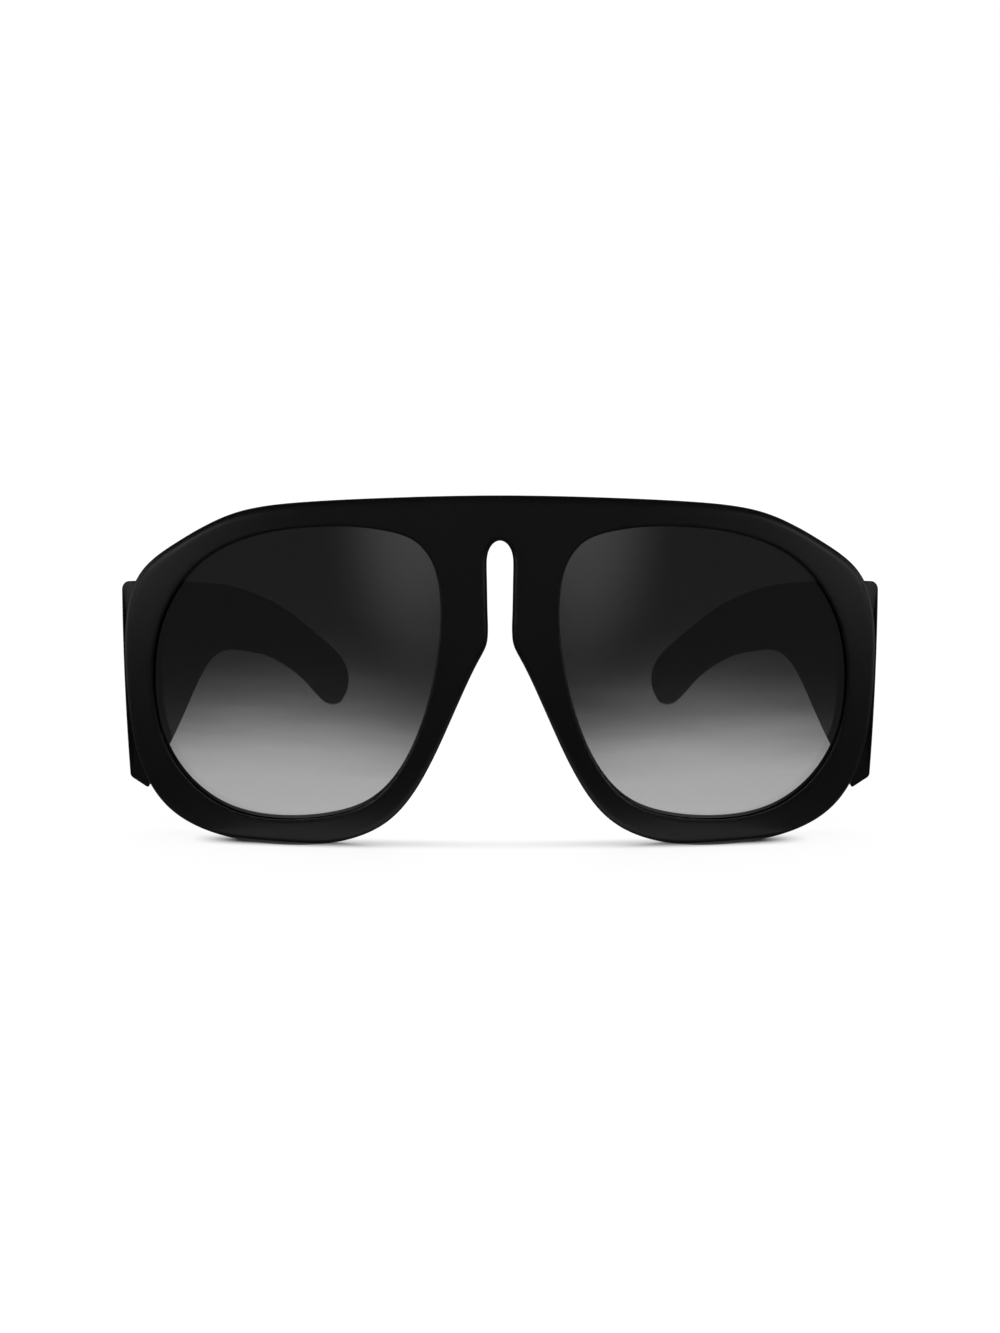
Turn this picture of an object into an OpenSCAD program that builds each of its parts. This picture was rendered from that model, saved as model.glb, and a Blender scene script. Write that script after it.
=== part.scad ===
// Oversized one-piece-look sunglasses: a wrapped front with two graded lenses and two deep
// folding temples. The front faces -Y, the temples run back along +Y, the rims stand on z = 0.
// The wearer's left is +X. Lengths are in millimetres.

/* [Lens openings] */
// Width of each lens opening
lens_w = 56.2; // [50:0.1:62]
// Height of each lens opening
lens_h = 57.2; // [50:0.1:62]
// Distance between the two openings at the bridge
lens_gap = 22.2; // [18:0.1:28]
// Thickness of the lenses
lens_t = 2.0; // [1.6:0.1:2.4]
// How far a lens reaches into its groove
lens_bite = 0.9; // [0.6:0.05:1.2]

/* [Front] */
// Radius of the sphere the front is bent to
wrap_r = 170; // [150:1:240]
// Thickness of the front
front_t = 6.0; // [5:0.1:7]
// Rim width above the openings
rim_top = 4.2; // [3.5:0.1:6]
// Rim width beside the openings
rim_side = 6.0; // [5:0.1:8]
// Rim width below the openings
rim_low = 5.7; // [4:0.1:7]
// Rounding of the front's outer edge
edge_r = 1.3; // [0.6:0.05:1.6]
// Rounding of the openings' front edge
lip_r = 0.5; // [0.3:0.05:0.6]
// How far the lenses lie behind the face of the front
lens_set = 0.8; // [0.8:0.05:1.5]
// Rounding of the rear edges
rear_r = 0.9; // [0.4:0.05:1.2]

/* [Bridge] */
// Height of the solid brow above the bridge slot
brow_h = 8.0; // [6:0.1:11]
// Width of the bridge slot
slot_w = 4.8; // [3.6:0.1:6]
// Height of the bridge slot
slot_h = 19.2; // [15:0.1:22]

/* [Temples] */
// How far the temple tips reach behind the front's face
reach = 156.5; // [140:0.5:170]
// Height of a temple's top corner at the front
temple_h = 50.4; // [44:0.1:56]
// Thickness of a temple
temple_t = 4.1; // [3.6:0.1:5]
// How far a temple's outer face stands outside the rim
temple_out = 1.7; // [0.5:0.1:2.5]
// Inward slope of a temple where it starts
temple_toe = 0.05; // [0:0.01:0.1]
// Radius of a temple's inward bow
bow_r = 397; // [300:1:700]
// Rounding of a temple's edges
temple_r = 1.8; // [0.8:0.1:2]
// Rounding of a temple's lower edges where it starts
temple_low_r = 0.6; // [0.3:0.1:1.2]
// How much further out a temple's lower edge stands where it starts
temple_flare = 0.5; // [0:0.1:1]
// How much higher the outer lower edge of a temple starts than its inner one
temple_slant = 2.1; // [0:0.1:2.5]
// Gap between a temple's end and the front
butt_gap = 0.25; // [0.15:0.05:0.5]
// Thickness of the core wires
wire_t = 1.2; // [0.8:0.1:1.6]
// Height of the core wires
wire_h = 2.6; // [2:0.1:3.5]

/* [Hinges] */
// Radius of the hinge barrels
barrel_r = 1.6; // [1.4:0.05:1.8]
// Height of one hinge barrel
barrel_h = 1.5; // [1.2:0.05:2]
// Thickness of the hinge leaves
leaf_t = 1.0; // [0.8:0.05:1.2]
// Width of a front leaf
front_leaf_w = 3.4; // [3.2:0.1:4.2]
// Height of a front leaf
front_leaf_h = 12; // [12:0.1:13]
// Length of a temple leaf
temple_leaf_l = 11.5; // [10:0.1:14]
// Height of a temple leaf
temple_leaf_h = 7.5; // [6:0.1:9]
// Radius of the hinge screw's shank
pin_r = 0.65; // [0.5:0.01:0.75]
// Radius of the leaf screws' shank
screw_r = 0.55; // [0.4:0.01:0.65]
// Length of the leaf screws
screw_l = 2.2; // [1.8:0.1:2.4]

/* [Nose pads] */
// Length of a nose pad
pad_l = 16; // [13:0.5:20]
// Width of a nose pad
pad_w = 4.4; // [3.6:0.1:5.6]
// How far a nose pad stands behind the front
pad_h = 4.6; // [3:0.1:6]

/* [Fits] */
// Clearance around a seated part
seat = 0.1; // [0.05:0.01:0.2]
// Running clearance of the hinge screw, on the radius
run = 0.05; // [0.02:0.01:0.1]
// Clearance between neighbouring hinge barrels
knuckle_gap = 0.06; // [0.03:0.01:0.15]

/* [Hidden] */
$fn = 48;

// Lens centre and the height the wrap is centred on
half_w = lens_w / 2;
half_h = lens_h / 2;
lens_x = lens_gap / 2 + half_w;
lens_z = rim_low + half_h;
wrap_share = 0.14;
wrap_z = lens_z + wrap_share * half_h;
front_x = lens_x + half_w + rim_side;

// Rounding of an edge in two steps: shares of its radius
arc_share = 1 - cos(45);
// Steps drawn between two outline points, and along the middle of the brow
steps = 4;
mid_steps = 3;

// Lens opening: control points as shares of its half width and half height
opening_shares = [[-0.77, 0.95], [-0.46, 1], [-0.14, 0.99], [0.17, 0.95], [0.47, 0.85],
    [0.7, 0.69], [0.87, 0.46], [0.97, 0.22], [1.01, -0.08], [0.99, -0.44], [0.82, -0.77],
    [0.52, -0.98], [0.16, -1.02], [-0.2, -0.98], [-0.54, -0.87], [-0.77, -0.57],
    [-0.9, -0.23], [-0.96, 0.02], [-0.99, 0.21], [-1.01, 0.4], [-1, 0.62],
    [-0.96, 0.77], [-0.88, 0.88]];
// Front outline from the middle of the brow to the foot of the slot: control points as shares
// of the way from the lens centre to the middle plane, the side, the top and the bottom
front_shares = [[-1, 1.035], [-0.72, 1.03], [-0.4, 1.015], [-0.04, 0.99], [0.35, 0.94],
    [0.67, 0.745], [0.915, 0.58], [1, 0.28], [1, -0.1], [0.98, -0.52], [0.82, -0.86],
    [0.48, -0.99], [0.12, -1.008], [-0.2, -0.98], [-0.48, -0.84], [-0.65, -0.53],
    [-0.77, -0.21], [-0.89, 0.11]];
// Bridge slot from its foot to its round top: shares of its half width and height
slot_shares = [[0.84, 0], [0.98, 0.24], [1, 0.64], [1.1, 0.92], [0, 1.04]];
front_top = lens_z + front_shares[0].y * (half_h + rim_top);

// Uniform cubic B-spline
basis = [[-1, 3, -3, 1], [3, -6, 3, 0], [-3, 0, 3, 0], [1, 4, 1, 0]] / 6;
function blend(p, k, f) = [pow(f, 3), pow(f, 2), f, 1] * basis
    * [p[k], p[k + 1], p[k + 2], p[k + 3]];

function opening_at(s) = [lens_x + s.x * half_w, lens_z + s.y * half_h];
function front_at(s) = [lens_x + s.x * (s.x < 0 ? lens_x : half_w + rim_side),
    lens_z + s.y * (half_h + (s.y > 0 ? rim_top : rim_low))];
function slot_at(s) = [s.x * slot_w / 2, front_top - brow_h - slot_h + s.y * slot_h];
function mirrored(p) = [-p.x, p.y];

opening_pts = [for (s = opening_shares) opening_at(s)];
outline_pts = concat([for (s = front_shares) front_at(s)], [for (s = slot_shares) slot_at(s)]);
count = len(outline_pts);
open_ring = concat([opening_pts[count - 1]], opening_pts, [opening_pts[0], opening_pts[1]]);
out_ring = concat([mirrored(outline_pts[1])], outline_pts, [mirrored(outline_pts[count - 2])]);

// Matching points of the opening and the outline, all the way round one lens
along = concat([for (k = [0:count - 2], i = [0:steps - 1]) [k, i / steps]],
    [for (i = [0:mid_steps - 1]) [count - 1, i / mid_steps]]);
rings = len(along);
foot = (count - 1) * steps;
brow_top = blend(out_ring, 0, 0);
slot_top = blend(out_ring, count - 2, 1);
inner = [for (a = along) blend(open_ring, a[0], a[1])];
outer = [for (a = along) a[0] < count - 1 ? blend(out_ring, a[0], a[1])
    : slot_top + a[1] * (brow_top - slot_top)];

function unit(v) = v / norm(v);
function turned(v) = [-v.y, v.x];
function normal_of(p, i) = unit(turned(p[(i + 1) % rings] - p[(i + rings - 1) % rings]));
inner_n = [for (i = [0:rings - 1]) normal_of(inner, i)];
outer_n = [for (i = [0:rings - 1]) i == 0 ? [0, 1] : i == foot ? [0, -1]
    : i > foot ? [0, 0] : normal_of(outer, i)];

// Point of the front at x and z, a depth d behind its face
function depth_y(x, z, d) = wrap_r
    - sqrt(pow(wrap_r - d, 2) - pow(x, 2) - pow(z - wrap_z, 2));
function front_pt(p, d) = [p.x, depth_y(p.x, p.y, d), p.y];

// Lens groove: its front and rear wall as depths
groove_front = lens_set - seat;
groove_rear = groove_front + lens_t + 2 * seat;
groove_in = lens_bite + seat;

// One section of the rim, from the opening's front edge round the outside to its groove
function rim_loop(i) = let (a = inner[i], an = inner_n[i], o = outer[i], on = outer_n[i],
    face_in = a + an * lip_r, face_out = o - on * edge_r,
    back_in = a + an * rear_r, back_out = o - on * rear_r) [
    front_pt(a, lip_r), front_pt(a + an * lip_r * arc_share, lip_r * arc_share),
    front_pt(face_in, 0), front_pt((face_in + face_out) / 2, 0), front_pt(face_out, 0),
    front_pt(o - on * edge_r * arc_share, edge_r * arc_share), front_pt(o, edge_r),
    front_pt(o, front_t - rear_r),
    front_pt(o - on * rear_r * arc_share, front_t - rear_r * arc_share),
    front_pt(back_out, front_t), front_pt((back_in + back_out) / 2, front_t),
    front_pt(back_in, front_t), front_pt(a, front_t - rear_r), front_pt(a, groove_rear),
    front_pt(a + an * groove_in, groove_rear), front_pt(a + an * groove_in, groove_front),
    front_pt(a, groove_front)];
loop = len(rim_loop(1));
// First and last point of a section that the two halves share in the middle plane
seam_from = 4;
seam_to = 9;

function shared(i, j) = (i == 0 || i >= foot) && j >= seam_from && j <= seam_to;
function spot(side, i, j) = (side == 0 || shared(i, j) ? 0 : rings * loop) + i * loop + j;
function two_sided(side, a, b, c, d) = side == 0 ? [[a, b, c], [a, c, d]]
    : [[c, b, a], [d, c, a]];
half_pts = [for (i = [0:rings - 1]) for (p = rim_loop(i)) p];
front_pts = concat(half_pts, [for (p = half_pts) [-p.x, p.y, p.z]]);
front_tris = [for (side = [0, 1], i = [0:rings - 1], j = [0:loop - 1])
    let (k = (i + 1) % rings, m = (j + 1) % loop)
    if (!(i >= foot && j >= seam_from && j < seam_to))
        for (t = two_sided(side, spot(side, i, j), spot(side, i, m), spot(side, k, m),
            spot(side, k, j))) t];

// Temple: upper and lower edge of matching sections, as shares of the reach and the height
edge_shares = [
    [[0.15, 0.995], [0.16, 0.15]], [[0.22, 0.975], [0.215, 0.19]], [[0.3, 0.945], [0.285, 0.255]],
    [[0.38, 0.91], [0.355, 0.355]], [[0.465, 0.87], [0.425, 0.485]], [[0.55, 0.83], [0.495, 0.535]],
    [[0.63, 0.77], [0.57, 0.515]], [[0.7, 0.705], [0.64, 0.465]], [[0.765, 0.63], [0.71, 0.415]],
    [[0.825, 0.54], [0.77, 0.345]], [[0.885, 0.44], [0.825, 0.265]], [[0.94, 0.345], [0.87, 0.185]],
    [[0.98, 0.26], [0.905, 0.1]], [[1, 0.18], [0.935, 0.035]], [[1, 0.1], [0.955, 0]],
    [[0.99, 0.04], [0.97, 0]]];
stations = len(edge_shares);
function edge_at(k, e) = [edge_shares[k][e][0] * reach, edge_shares[k][e][1] * temple_h];
function edge_ring(e) = concat([2 * edge_at(0, e) - edge_at(1, e)],
    [for (k = [0:stations - 1]) edge_at(k, e)],
    [2 * edge_at(stations - 1, e) - edge_at(stations - 2, e)]);
temple_steps = 3;
temple_along = concat([for (k = [0:stations - 2], i = [0:temple_steps - 1]) [k, i / temple_steps]],
    [[stations - 2, 1]]);
sections = len(temple_along);
upper_ring = edge_ring(0);
lower_ring = edge_ring(1);
upper = [for (a = temple_along) blend(upper_ring, a[0], a[1])];
lower = [for (a = temple_along) blend(lower_ring, a[0], a[1])];

// Middle of a temple's thickness, seen from above
start_y = edge_at(0, 0)[0];
start_x = front_x + temple_out - temple_t / 2;
function bow(y) = start_x - temple_toe * (y - start_y) - pow(y - start_y, 2) / (2 * bow_r);

// Section of a temple: distances from its lower edge towards the upper one, and across its
// thickness; its lower face starts slanted and its lower edges start crisper than the upper
flank = temple_t / 2;
fade_steps = 15;
function fade(i) = max(0, 1 - i / fade_steps);
function lower_r(i, r) = r + fade(i) * (min(temple_low_r, r) - r);
function section_pts(i, t) = let (size = norm(upper[i] - lower[i]),
    r = min(temple_r, t, size / 2), q = r * arc_share,
    c = lower_r(i, r), d = c * arc_share, s = temple_slant * fade(i) / (2 * t)) [
    [c + 2 * t * s, t], [d + (2 * t - d) * s, t - d], [(2 * t - c) * s, t - c],
    [c * s, c - t], [d + d * s, d - t], [c, -t],
    [size / 2, -t], [size - r, -t], [size - q, q - t], [size, r - t], [size, t - r],
    [size - q, t - q], [size - r, t], [size / 2, t]];
// Thickness of the last sections as shares of the whole
tip_shares = [1, 0.97, 0.9, 0.8, 0.62];
function flank_at(i) = let (n = i - (sections - len(tip_shares)))
    flank * (n < 0 ? 1 : tip_shares[n]);
function butt_y(x, z) = depth_y(x, z, front_t) + butt_gap;
function temple_pt(i, c) = let (across = upper[i] - lower[i], p = lower[i] + c[0] * unit(across),
    x = bow(p.x) + c[1] + temple_flare * fade(i) * (1 - c[0] / norm(across)))
    [x, i == 0 ? butt_y(x, p.y) : p.x, p.y];

// Triangles of a loft of n sections with m points each
function tube(n, m) = concat(
    [for (i = [0:n - 2], j = [0:m - 1]) let (k = (j + 1) % m)
        for (t = [[i * m + j, (i + 1) * m + k, i * m + k],
            [i * m + j, (i + 1) * m + j, (i + 1) * m + k]]) t],
    [for (j = [1:m - 2]) [0, j, j + 1]],
    [for (j = [1:m - 2]) [(n - 1) * m, (n - 1) * m + j + 1, (n - 1) * m + j]]);

// Core wire: runs along a share of the way up the sections, over a share of the temple's length
wire_share = 0.55;
wire_reach_share = 0.66;
wire_first = 2;
wire_last = floor(wire_reach_share * sections);
function wire_pt(i, h, t, y) = let (p = lower[i] + wire_share * (upper[i] - lower[i]),
    n = unit(upper[i] - lower[i]), q = p + h * n) [bow(q.x) + t, q.x + y, q.y];
function wire_loop(i, h, t, y) = [wire_pt(i, -h, t, y), wire_pt(i, -h, -t, y),
    wire_pt(i, h, -t, y), wire_pt(i, h, t, y)];

// Hinge: a vertical axis standing off the front's rear face and the temple's inner face
hinge_share = 0.84;
hinge_z = temple_h * hinge_share;
stand_off = barrel_r + seat + knuckle_gap;
inner_x = start_x - flank;
corner = [inner_x, depth_y(inner_x, hinge_z, front_t)];
function rear_angle(x, z) = atan2(x, wrap_r - depth_y(x, z, front_t));
face_a = rear_angle(inner_x, hinge_z);
toe_a = atan(temple_toe);
open_a = 90 + face_a - toe_a;
axis_a = 90 + toe_a + open_a / 2;
axis = corner + stand_off / sin(open_a / 2) * [cos(axis_a), sin(axis_a)];
knuckles = 5;
stack_h = knuckles * barrel_h;
web_in = stand_off + leaf_t / 2;
web_share = 0.2;
head_r = 2 * screw_r;
head_h = screw_r;
front_screw_z = (front_leaf_h + stack_h) / 4;
fore_share = 0.42;
aft_share = 0.78;
fore_y = temple_leaf_l * fore_share;
aft_y = temple_leaf_l * aft_share;
pin_head_r = (pin_r + barrel_r) / 2;
pin_head_h = barrel_h / 2;
drive_w = screw_r / 2;
beyond = 2 * front_t;

// Nose pad: a dome along the rim beside the nose, by the outline's control points
pad_station = 16.5;
pad_at = pad_station * steps;
pad_rounds = 6;
pad_sides = 24;
pad_lean = 0.6;
pad_shift = 0.6;

module at_side(side) {
    if (side > 0) children();
    else mirror([1, 0, 0]) children();
}

module placed() {
    translate([0, -reach / 2, 0]) children();
}

// Along the hinge axis, turned so that +X runs along a leaf and +Y points away from its seat
module on_front_leaf() {
    translate([axis.x, axis.y, hinge_z]) rotate([0, 0, face_a]) children();
}

module on_temple_leaf() {
    translate([axis.x, axis.y, hinge_z]) rotate([0, 0, toe_a]) children();
}

module front_shell() {
    polyhedron(points = front_pts, faces = front_tris, convexity = 10);
}

module screw_hole() {
    cylinder(r = screw_r + seat / 2, h = 2 * (screw_l + seat), center = true);
}

// Places a screw's axis on a leaf's outer face, pointing away from the seat
module at_front_screw(end) {
    on_front_leaf() translate([0, -stand_off, end * front_screw_z]) rotate([-90, 0, 0])
        children();
}

module at_temple_screw(y) {
    on_temple_leaf() translate([stand_off, y, 0]) rotate([0, -90, 0]) children();
}

module front_frame() {
    color([0.05, 0.05, 0.05]) placed() difference() {
        front_shell();
        for (side = [-1, 1]) at_side(side) {
            on_front_leaf() translate([-front_leaf_w / 2 - seat,
                -stand_off - leaf_t - seat / 2, -front_leaf_h / 2 - seat])
                cube([front_leaf_w + 2 * seat, stand_off + leaf_t, front_leaf_h + 2 * seat]);
            for (end = [-1, 1]) at_front_screw(end) screw_hole();
        }
    }
}

module lens_piece() {
    intersection() {
        translate([0, beyond + wrap_r / 4, 0]) rotate([90, 0, 0])
            linear_extrude(height = 2 * beyond + wrap_r / 4)
                polygon([for (i = [0:rings - 1]) inner[i] + lens_bite * inner_n[i]]);
        translate([0, wrap_r, wrap_z]) difference() {
            sphere(r = wrap_r - groove_front - seat);
            sphere(r = wrap_r - groove_rear + seat);
        }
    }
}

module left_lens() {
    color([0.35, 0.36, 0.38, 0.7]) placed() at_side(1) lens_piece();
}

module right_lens() {
    color([0.35, 0.36, 0.38, 0.7]) placed() at_side(-1) lens_piece();
}

function rim_middle(i) = (inner[i] + outer[i]) / 2;
pad_mid = rim_middle(pad_at);
pad_up = unit(rim_middle(pad_at + steps) - rim_middle(pad_at - steps));
pad_over = [pad_up.y, -pad_up.x];
pad_centre = pad_mid - pad_shift * pad_over;
function pad_pt(k, turn, share) = let (a = 90 * k / pad_rounds,
    p = pad_centre + cos(a) * (cos(turn) * pad_w / 2 * pad_over + sin(turn) * pad_l / 2 * pad_up))
    [p.x - pad_lean * sin(a) * share, depth_y(p.x, p.y, front_t) + seat + pad_h * sin(a) * share,
        p.y];
pad_turns = [for (i = [0:pad_sides - 1]) 360 * i / pad_sides];
pad_pts = concat([for (k = [0:pad_rounds - 1], t = pad_turns) pad_pt(k, t, 1)],
    [pad_pt(pad_rounds, 0, 1), pad_pt(pad_rounds, 0, 0)]);
pad_tip = pad_rounds * pad_sides;
pad_tris = concat(
    [for (k = [0:pad_rounds - 2], i = [0:pad_sides - 1])
        let (a = k * pad_sides + i, b = k * pad_sides + (i + 1) % pad_sides)
        for (t = [[a, b, b + pad_sides], [a, b + pad_sides, a + pad_sides]]) t],
    [for (i = [0:pad_sides - 1]) [pad_tip - pad_sides + i,
        pad_tip - pad_sides + (i + 1) % pad_sides, pad_tip]],
    [for (i = [0:pad_sides - 1]) [(i + 1) % pad_sides, i, pad_tip + 1]]);

module pad_piece() {
    polyhedron(points = pad_pts, faces = pad_tris, convexity = 4);
}

module left_nose_pad() {
    color([0.06, 0.06, 0.06]) placed() at_side(1) pad_piece();
}

module right_nose_pad() {
    color([0.06, 0.06, 0.06]) placed() at_side(-1) pad_piece();
}

module wire_loft(first, last, grow, ahead) {
    polyhedron(points = [for (i = [first:last]) for (p = wire_loop(i, wire_h / 2 + grow,
        wire_t / 2 + grow, i == first ? -ahead : i == last ? grow : 0)) p],
        faces = tube(last - first + 1, 4), convexity = 4);
}

module temple_piece() {
    difference() {
        polyhedron(points = [for (i = [0:sections - 1]) for (c = section_pts(i, flank_at(i)))
            temple_pt(i, c)], faces = tube(sections, len(section_pts(0, flank))),
            convexity = 6);
        wire_loft(0, wire_last, seat, beyond);
        on_temple_leaf() translate([0, -beyond, -temple_leaf_h / 2 - seat])
            cube([stand_off + leaf_t + seat / 2, beyond + temple_leaf_l + seat,
                temple_leaf_h + 2 * seat]);
        for (y = [fore_y, aft_y]) at_temple_screw(y) screw_hole();
    }
}

module left_temple() {
    color([0.05, 0.05, 0.05]) placed() at_side(1) temple_piece();
}

module right_temple() {
    color([0.05, 0.05, 0.05]) placed() at_side(-1) temple_piece();
}

module left_core_wire() {
    color([0.72, 0.72, 0.74]) placed() at_side(1) wire_loft(wire_first, wire_last, 0, 0);
}

module right_core_wire() {
    color([0.72, 0.72, 0.74]) placed() at_side(-1) wire_loft(wire_first, wire_last, 0, 0);
}

module knuckle(i) {
    translate([0, 0, i * barrel_h - stack_h / 2 + knuckle_gap / 2])
        cylinder(r = barrel_r, h = barrel_h - knuckle_gap);
}

module web(i, size) {
    translate([0, 0, i * barrel_h - stack_h / 2 + knuckle_gap / 2])
        cube([size.x, size.y, barrel_h - knuckle_gap]);
}

module pin_bore() {
    cylinder(r = pin_r + run, h = 2 * stack_h, center = true);
}

// Countersunk hole through a leaf, drawn down from its outer face
module countersink() {
    screw_hole();
    translate([0, 0, -head_h]) cylinder(r1 = screw_r + seat / 2, r2 = head_r + seat / 2,
        h = head_h);
    cylinder(r = head_r + seat / 2, h = leaf_t);
}

module front_leaf_piece() {
    difference() {
        on_front_leaf() {
            translate([-front_leaf_w / 2, -stand_off - leaf_t, -front_leaf_h / 2])
                cube([front_leaf_w, leaf_t, front_leaf_h]);
            for (i = [0:2:knuckles - 1]) {
                knuckle(i);
                translate([-barrel_r, -web_in, 0])
                    web(i, [barrel_r + barrel_r * web_share, web_in]);
            }
        }
        on_front_leaf() {
            pin_bore();
            translate([0, 0, stack_h / 2 - knuckle_gap / 2 - pin_head_h])
                cylinder(r = pin_head_r + run, h = stack_h);
        }
        for (end = [-1, 1]) at_front_screw(end) countersink();
    }
}

module left_front_leaf() {
    color([0.62, 0.62, 0.64]) placed() at_side(1) front_leaf_piece();
}

module right_front_leaf() {
    color([0.62, 0.62, 0.64]) placed() at_side(-1) front_leaf_piece();
}

module temple_leaf_piece() {
    difference() {
        on_temple_leaf() {
            translate([stand_off, 0, -temple_leaf_h / 2])
                cube([leaf_t, temple_leaf_l, temple_leaf_h]);
            for (i = [1:2:knuckles - 1]) {
                knuckle(i);
                web(i, [web_in, barrel_r]);
            }
        }
        on_temple_leaf() pin_bore();
        for (y = [fore_y, aft_y]) at_temple_screw(y) countersink();
    }
}

module left_temple_leaf() {
    color([0.62, 0.62, 0.64]) placed() at_side(1) temple_leaf_piece();
}

module right_temple_leaf() {
    color([0.62, 0.62, 0.64]) placed() at_side(-1) temple_leaf_piece();
}

module hinge_screw_piece() {
    on_front_leaf() difference() {
        union() {
            translate([0, 0, knuckle_gap / 2 - stack_h / 2]) cylinder(r = pin_r,
                h = stack_h - knuckle_gap);
            translate([0, 0, stack_h / 2 - knuckle_gap / 2 - pin_head_h + seat / 2])
                cylinder(r = pin_head_r, h = pin_head_h - seat / 2);
        }
        translate([-barrel_r, -drive_w / 2, stack_h / 2 - knuckle_gap / 2 - drive_w])
            cube([2 * barrel_r, drive_w, barrel_h]);
    }
}

module left_hinge_screw() {
    color([0.72, 0.72, 0.74]) placed() at_side(1) hinge_screw_piece();
}

module right_hinge_screw() {
    color([0.72, 0.72, 0.74]) placed() at_side(-1) hinge_screw_piece();
}

// Countersunk screw with its head flush with the leaf's outer face
module leaf_screw_piece() {
    difference() {
        union() {
            translate([0, 0, -screw_l]) cylinder(r = screw_r, h = screw_l);
            translate([0, 0, -head_h]) cylinder(r1 = screw_r, r2 = head_r, h = head_h);
        }
        translate([-barrel_r, -drive_w / 2, -drive_w]) cube([2 * barrel_r, drive_w, leaf_t]);
    }
}

module left_front_leaf_upper_screw() {
    color([0.72, 0.72, 0.74]) placed() at_side(1) at_front_screw(1) leaf_screw_piece();
}

module left_front_leaf_lower_screw() {
    color([0.72, 0.72, 0.74]) placed() at_side(1) at_front_screw(-1) leaf_screw_piece();
}

module right_front_leaf_upper_screw() {
    color([0.72, 0.72, 0.74]) placed() at_side(-1) at_front_screw(1) leaf_screw_piece();
}

module right_front_leaf_lower_screw() {
    color([0.72, 0.72, 0.74]) placed() at_side(-1) at_front_screw(-1) leaf_screw_piece();
}

module left_temple_leaf_fore_screw() {
    color([0.72, 0.72, 0.74]) placed() at_side(1) at_temple_screw(fore_y) leaf_screw_piece();
}

module left_temple_leaf_aft_screw() {
    color([0.72, 0.72, 0.74]) placed() at_side(1) at_temple_screw(aft_y) leaf_screw_piece();
}

module right_temple_leaf_fore_screw() {
    color([0.72, 0.72, 0.74]) placed() at_side(-1) at_temple_screw(fore_y) leaf_screw_piece();
}

module right_temple_leaf_aft_screw() {
    color([0.72, 0.72, 0.74]) placed() at_side(-1) at_temple_screw(aft_y) leaf_screw_piece();
}

front_frame();
left_lens();
right_lens();
left_nose_pad();
right_nose_pad();
left_temple();
right_temple();
left_core_wire();
right_core_wire();
left_front_leaf();
right_front_leaf();
left_temple_leaf();
right_temple_leaf();
left_hinge_screw();
right_hinge_screw();
left_front_leaf_upper_screw();
left_front_leaf_lower_screw();
right_front_leaf_upper_screw();
right_front_leaf_lower_screw();
left_temple_leaf_fore_screw();
left_temple_leaf_aft_screw();
right_temple_leaf_fore_screw();
right_temple_leaf_aft_screw();
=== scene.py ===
# Oversized wrapped sunglasses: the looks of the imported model, in metres, in the frame of the CAD.
# The front faces -Y, the temples run back along +Y, the rims stand on z = 0, and the wearer's
# left is +X.
import math

import bpy
import numpy as np
from bpy.props import FloatProperty, FloatVectorProperty, PointerProperty
from mathutils import Euler, Matrix, Vector


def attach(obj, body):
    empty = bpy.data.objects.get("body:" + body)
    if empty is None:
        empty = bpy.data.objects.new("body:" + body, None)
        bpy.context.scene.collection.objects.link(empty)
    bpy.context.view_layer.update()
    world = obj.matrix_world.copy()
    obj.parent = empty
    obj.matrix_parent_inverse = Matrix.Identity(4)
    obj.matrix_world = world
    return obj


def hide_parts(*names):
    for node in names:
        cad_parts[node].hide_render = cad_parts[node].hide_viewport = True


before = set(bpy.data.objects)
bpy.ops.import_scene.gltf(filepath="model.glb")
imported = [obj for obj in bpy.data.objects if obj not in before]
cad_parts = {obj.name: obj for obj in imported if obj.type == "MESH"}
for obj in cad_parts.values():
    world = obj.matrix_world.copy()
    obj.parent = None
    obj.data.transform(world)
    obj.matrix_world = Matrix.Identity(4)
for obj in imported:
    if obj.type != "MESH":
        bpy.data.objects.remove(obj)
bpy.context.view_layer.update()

bl_info = {
    "name": "Wrapped sunglasses",
    "version": (1, 0, 0),
    "blender": (4, 5, 0),
    "location": "3D View > Sidebar > Sunglasses",
    "description": "Builds a pair of sunglasses with a polished front, graded lenses and temples",
    "category": "Add Mesh",
}


# Sizes and colours

def length(name, description, default):
    return FloatProperty(name=name, description=description, default=default, unit="LENGTH",
                         precision=5)


def share(name, description, default):
    return FloatProperty(name=name, description=description, default=default, subtype="FACTOR",
                         min=0, max=1)


def colour(name, description, default):
    return FloatVectorProperty(name=name, description=description, default=default, size=3,
                               subtype="COLOR", min=0, max=1)


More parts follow.
